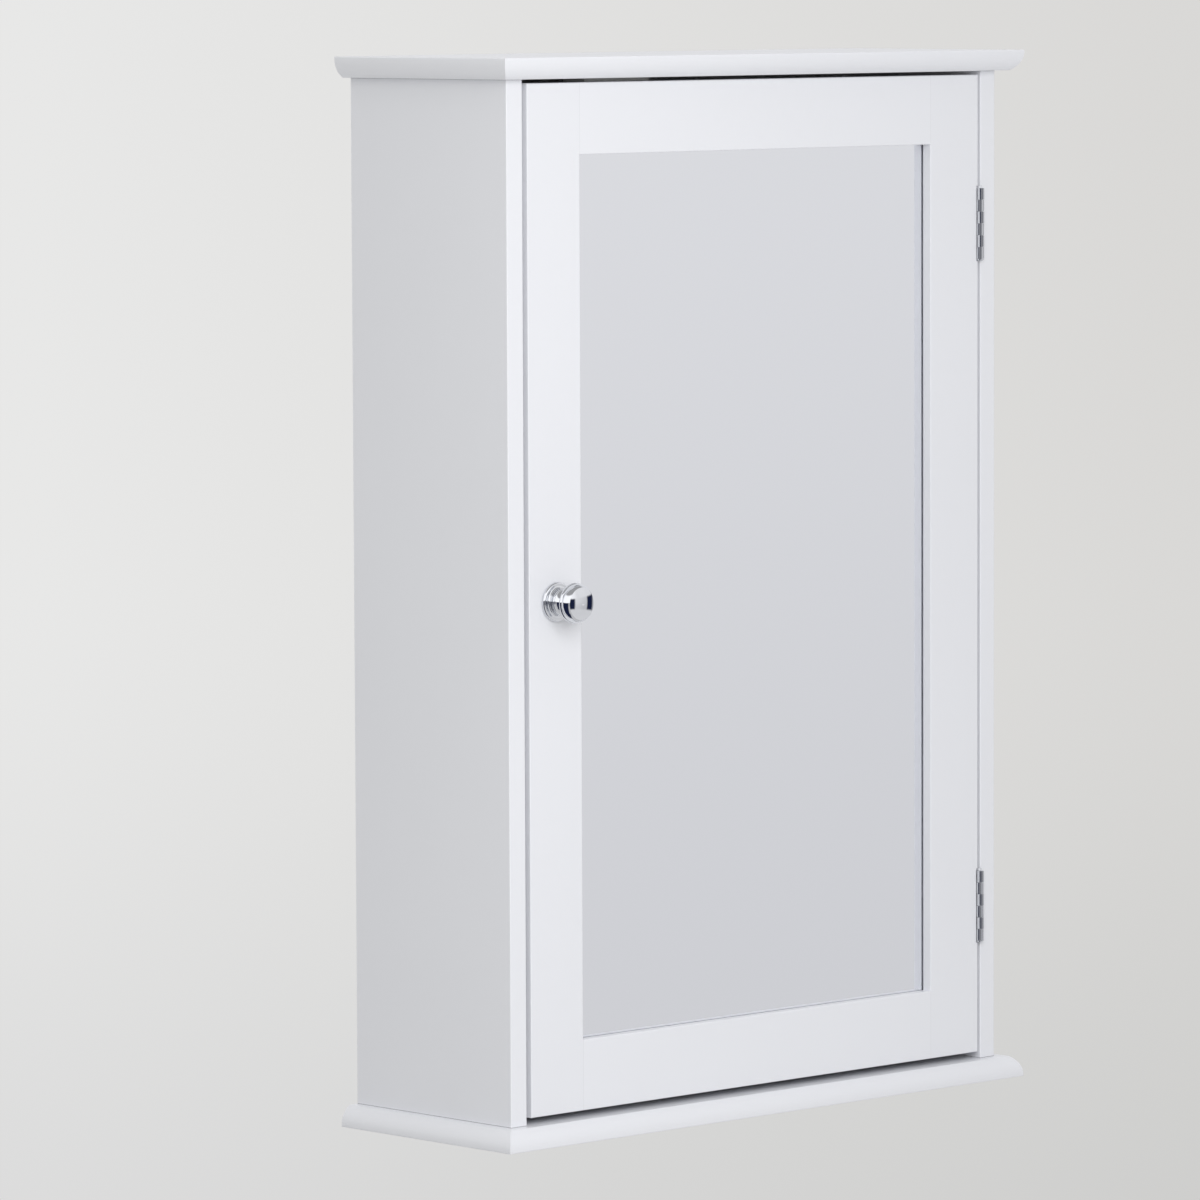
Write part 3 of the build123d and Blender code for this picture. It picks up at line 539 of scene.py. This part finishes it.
clip_foot = 0.011
clip_end_margin = 0.060
clips_per_side = 4
low, high = corners("mirror_clip_screws", small_screw_head)
clip_low, clip_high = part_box("mirror_clips")
first_level = clip_low.z + clip_foot + clip_end_margin
last_level = clip_high.z - clip_foot - clip_end_margin
level_step = (last_level - first_level) / (clips_per_side - 1)
clip_levels = [first_level + index * level_step for index in range(clips_per_side)]
clip_face = clip_high.y
clip_screws = [((x, clip_face, z), (0, 1, 0)) for x in (low.x, high.x) for z in clip_levels]
clip_screws += [((opening_middle, clip_face, z), (0, 1, 0)) for z in (low.z, high.z)]
fit_screws(
    "mirror_clip_screws",
    "door",
    wood_screw("clip_screw", small_screw, small_screw_head, length=0.010, dome=0.0013),
    clip_screws,
)

# Hinges
# Butt hinges of polished chrome plate: strips rolled round a pin, three knuckles from each leaf.
# Their countersunk screws are plated to match.
chrome_bright = (0.80, 0.81, 0.83, 1)
chrome_dull = (0.70, 0.715, 0.74, 1)


def chromed(name, polish, lean=0.0):
    """Chrome plate. polish is its lowest roughness, lean how far its faces are out of true."""
    material, shading = new_material(name)
    film = shading.clouds(0.006, detail=3)
    colour = shading.mixed(film, chrome_bright, chrome_dull)
    ripple = 0.000001 * shading.clouds(0.0007, detail=2)
    slope = lean * (shading.along("X") - shading.along("Y"))
    normal = shading.relief(ripple + slope, 1.0)
    shading.surface(
        {"Base Color": colour, "Metallic": 1.0, "Roughness": polish + 0.03 * film, "Normal": normal}
    )
    return material


frame_chrome = chromed("frame_leaf_chrome", 0.02, lean=0.18)
door_chrome = chromed("door_leaf_chrome", 0.02, lean=-0.18)
pin_chrome = chromed("pin_chrome", 0.04)
for level in ("upper", "lower"):
    dress(frame_chrome, f"hinge_{level}_frame_leaf")
    dress(door_chrome, f"hinge_{level}_door_leaf")
    dress(pin_chrome, f"hinge_{level}_pin")

hinge_screw_head = 0.0023
hinge_screw_spacing = 0.024
for node, body, side in (("hinge_frame_screws", "cabinet", -1), ("hinge_door_screws", "door", 1)):
    low, high = corners(node, hinge_screw_head)
    outer_low, outer_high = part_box(node)
    face_x = outer_low.x if side < 0 else outer_high.x
    levels = (high.z, high.z - hinge_screw_spacing, low.z + hinge_screw_spacing, low.z)
    fit_screws(
        node,
        body,
        wood_screw(node + "_kind", small_screw, hinge_screw_head, length=0.009),
        [((face_x, low.y, z), (side, 0, 0)) for z in levels],
        finish=pin_chrome,
    )

# Knob
# A turned and chromed head on a waisted neck, standing on a turned rosette. One machine screw
# from the door's inner face pulls both against the stile.
dress(chromed("knob_chrome", 0.03), "knob", "knob_rosette")
knob_screw_head = 0.004
low, high = corners("knob_screw", knob_screw_head)
screw_low, screw_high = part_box("knob_screw")
screw_dome = 0.0024
fit_screws(
    "knob_screw",
    "door",
    wood_screw(
        "machine_screw",
        radius=0.002,
        head_radius=knob_screw_head,
        length=screw_high.y - screw_low.y - screw_dome,
        dome=screw_dome,
    ),
    [((low.x, screw_high.y - screw_dome, low.z), (0, 1, 0))],
)

# Magnetic catch
# A moulded body with two ears screwed up into the top board, a ferrite magnet between two steel
# pole plates, and a flat strike plate on the door's top rail.
plastic_light = (0.80, 0.80, 0.785, 1)
plastic_dark = (0.76, 0.76, 0.74, 1)
plastic, shading = new_material("catch_plastic")
flow = shading.clouds(0.005, detail=3)
shading.surface(
    {
        "Base Color": shading.mixed(flow, plastic_light, plastic_dark),
        "Roughness": 0.38 + 0.1 * flow,
        "Normal": shading.relief(shading.clouds(0.0004, detail=2), 0.00002, 0.5),
    }
)
dress(plastic, "catch_body")

ferrite_dark = (0.045, 0.045, 0.05, 1)
ferrite_light = (0.10, 0.10, 0.105, 1)
ferrite, shading = new_material("ferrite")
pits = shading.clouds(0.0005, detail=5)
shading.surface(
    {
        "Base Color": shading.mixed(pits, ferrite_dark, ferrite_light),
        "Roughness": 0.55 + 0.25 * pits,
        "Normal": shading.relief(pits, 0.00005, 0.7),
    }
)
dress(ferrite, "catch_magnet")
dress(plated_steel("strike_steel", brush=(1, 1, 8)), "catch_pole_plates", "strike_plate")

catch_screw_head = 0.0028
low, high = corners("catch_screws", catch_screw_head)
ear_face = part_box("catch_screws")[0].z
fit_screws(
    "catch_screws",
    "cabinet",
    wood_screw("catch_screw", radius=0.0015, head_radius=catch_screw_head, length=0.010),
    [((x, low.y, ear_face), (0, 0, -1)) for x in (low.x, high.x)],
)
low, high = corners("strike_screws", small_screw_head)
strike_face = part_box("strike_screws")[1].y
fit_screws(
    "strike_screws",
    "door",
    wood_screw("strike_screw", small_screw, small_screw_head, length=0.010),
    [((x, strike_face, low.z), (0, 1, 0)) for x in (low.x, high.x)],
)

# Floor
# A pale round floor, well below the hung cabinet, that fades out before its rim and is open from
# beneath.
floor_drop = 0.75
floor_radius = 3.0
floor_white = (0.80, 0.80, 0.80, 1)
floor_shaded = (0.79, 0.79, 0.79, 1)
fade_start = 0.1
fade_end = 0.9
bpy.ops.object.select_all(action="DESELECT")
bpy.ops.mesh.primitive_circle_add(
    vertices=96, radius=floor_radius, fill_type="NGON", location=(0, 0, cad_low.z - floor_drop)
)
floor = bpy.context.object
floor.name = "floor"
bpy.ops.object.transform_apply(location=True, rotation=True, scale=True)
floor_material, shading = new_material("floor_paper")
x = shading.along("X")
y = shading.along("Y")
spread = (x * x + y * y) * (1 / floor_radius**2)
limits = {1: fade_start, 2: fade_end}
fade = shading.node("MapRange", {0: spread, **limits}, interpolation_type="SMOOTHSTEP")
paper = shading.clouds(0.5)
clear = shading.node("BsdfTransparent", {})
matte = shading.node("BsdfDiffuse", {"Color": shading.mixed(paper, floor_white, floor_shaded)})
unseen = shading.node("LightPath", {}, output="Is Glossy Ray")
beneath = shading.node("NewGeometry", {}, output="Backfacing")
blended = shading.node(
    "MixShader", {0: fade.at_least(unseen).at_least(beneath), 1: matte, 2: clear}
)
shading.feed(shading.tree.nodes["Material Output"], {"Surface": blended})
floor.data.materials.append(floor_material)
floor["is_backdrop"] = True

# Light
# One large soft lamp in front and left, in a pale room that is lighter in front and overhead.
# Metal sees that room as pale walls with dark screens between them, a band of light panels above
# and a pale floor below. The camera sees a pale backdrop with painted shade, darker to the right and
# towards the bottom.
picture_centre = Vector((-0.06968, -0.0712, -0.23377))


def seen_from(azimuth, elevation):
    """Direction from the cabinet to a point at that azimuth and elevation, in degrees."""
    turn = math.radians(azimuth)
    rise = math.radians(elevation)
    level = math.cos(rise)
    return Vector((math.sin(turn) * level, -math.cos(turn) * level, math.sin(rise)))


lamp = bpy.data.lights.new("key_lamp", "AREA")
lamp.shape = "DISK"
lamp.size = 1.0
lamp.energy = 10.5
key = bpy.data.objects.new("key_lamp", lamp)
bpy.context.collection.objects.link(key)
lamp_distance = 1.4
lamp_azimuth = -33
lamp_elevation = 18
toward_key = seen_from(lamp_azimuth, lamp_elevation)
key.location = picture_centre + lamp_distance * toward_key
key.rotation_euler = toward_key.to_track_quat("Z", "Y").to_euler()
key.visible_camera = False
key.visible_glossy = False

world = bpy.data.worlds.new("room")
bpy.context.scene.world = world
shading = Shading(world)
direction = shading.node("TexCoord", {}, output="Generated")
east, north, up = [shading.node("SeparateXYZ", {0: direction}, output=axis) for axis in "XYZ"]
azimuth = shading.node("Math", {0: east, 1: -1 * north}, operation="ARCTAN2")


def grey(level):
    return (level, level, 1.02 * level, 1)


def all_round(*stops):
    """A colour by azimuth, from pairs of degrees and a colour."""
    places = [(degrees / 360 + 0.5, colour) for degrees, colour in stops]
    return shading.node("ValToRGB", {0: azimuth * (0.5 / math.pi) + 0.5}, stops=places)


def rising(low, high):
    """A share that grows from 0 to 1 between two elevations in degrees."""
    limits = {1: math.sin(math.radians(low)), 2: math.sin(math.radians(high))}
    return shading.node("MapRange", {0: up, **limits}, interpolation_type="SMOOTHSTEP")


screen = (0.012, 0.018, 0.05, 1)
walls = all_round(
    (-180, grey(0.85)),
    (-150, grey(0.80)),
    (-140, screen),
    (-60, screen),
    (-54, grey(0.50)),
    (-40, grey(0.50)),
    (-36, screen),
    (-16, screen),
    (-10, grey(0.50)),
    (8, grey(0.50)),
    (11, screen),
    (22, screen),
    (25, grey(0.88)),
    (53, grey(0.72)),
    (56, screen),
    (69, screen),
    (74, grey(0.75)),
    (100, grey(0.85)),
    (180, grey(0.85)),
)
dusk = 0.16
walls = shading.mixed(rising(-11, 1), shading.mixed(dusk, walls, screen), walls)
floor_seen = all_round(
    (-180, grey(0.60)),
    (-148, grey(0.55)),
    (-138, screen),
    (-62, screen),
    (-52, grey(0.55)),
    (20, grey(0.78)),
    (180, grey(0.78)),
)
underfoot = all_round(
    (-180, screen),
    (-50, screen),
    (-40, grey(0.60)),
    (90, grey(0.60)),
    (100, screen),
    (180, screen),
)
floor_seen = shading.mixed(rising(-58, -48), underfoot, floor_seen)
panels = all_round(
    (-180, grey(0.85)),
    (-120, grey(1.3)),
    (12, grey(1.3)),
    (30, grey(0.9)),
    (180, grey(0.9)),
)
room = shading.mixed(rising(-14, -11), floor_seen, walls)
room = shading.mixed(rising(3, 6), room, panels)
ceiling = grey(0.40)
room = shading.mixed(rising(38, 50), room, ceiling)

brighter_azimuth = -15
brighter_way = seen_from(brighter_azimuth, 0)
forward = brighter_way.x * east + brighter_way.y * north
rear_tone = (0.34, 0.337, 0.312, 1)
ambient = shading.mixed(forward.at_least(0.0), rear_tone, grey(0.60))
overhead = shading.mixed(0.5 * forward + 0.5, grey(1.5), grey(0.55))
ambient = shading.mixed(rising(35, 60), ambient, overhead)

# Painted shade on the backdrop: darker towards the bottom and to the right.
backdrop_shade_share = rising(-10.5, -4.5)
left_wall = shading.mixed(backdrop_shade_share, (0.71, 0.71, 0.71, 1), (0.81, 0.81, 0.805, 1))
right_wall = shading.mixed(backdrop_shade_share, (0.61, 0.61, 0.60, 1), (0.69, 0.683, 0.67, 1))
leftness = all_round(
    (-180, grey(1)),
    (-140, grey(0)),
    (131.5, grey(0)),
    (141, grey(1)),
    (180, grey(1)),
)
backdrop = shading.mixed(leftness, right_wall, left_wall)
glossy = shading.node("LightPath", {}, output="Is Glossy Ray")
from_camera = shading.node("LightPath", {}, output="Is Camera Ray")
light = shading.mixed(from_camera, shading.mixed(glossy, ambient, room), backdrop)
shading.feed(shading.tree.nodes["Background"], {"Color": light, "Strength": 1.0})

# Camera
# A long lens a few metres away, left of the cabinet and a little above its middle.
view_azimuth = -43.623
view_elevation = 4.887
view_roll = math.radians(-0.224)
view_distance = 3.7325
lens_mm = 225.35
sensor_mm = 36.0
lens = bpy.data.cameras.new("camera")
lens.lens = lens_mm
lens.sensor_width = sensor_mm
camera = bpy.data.objects.new("camera", lens)
bpy.context.collection.objects.link(camera)
backwards = seen_from(view_azimuth, view_elevation)
camera.location = picture_centre + view_distance * backwards
upright = backwards.to_track_quat("Z", "Y")
camera.rotation_euler = (upright @ Quaternion((0, 0, 1), view_roll)).to_euler()
bpy.context.scene.camera = camera
bpy.context.scene.view_settings.view_transform = "Standard"

low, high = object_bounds()
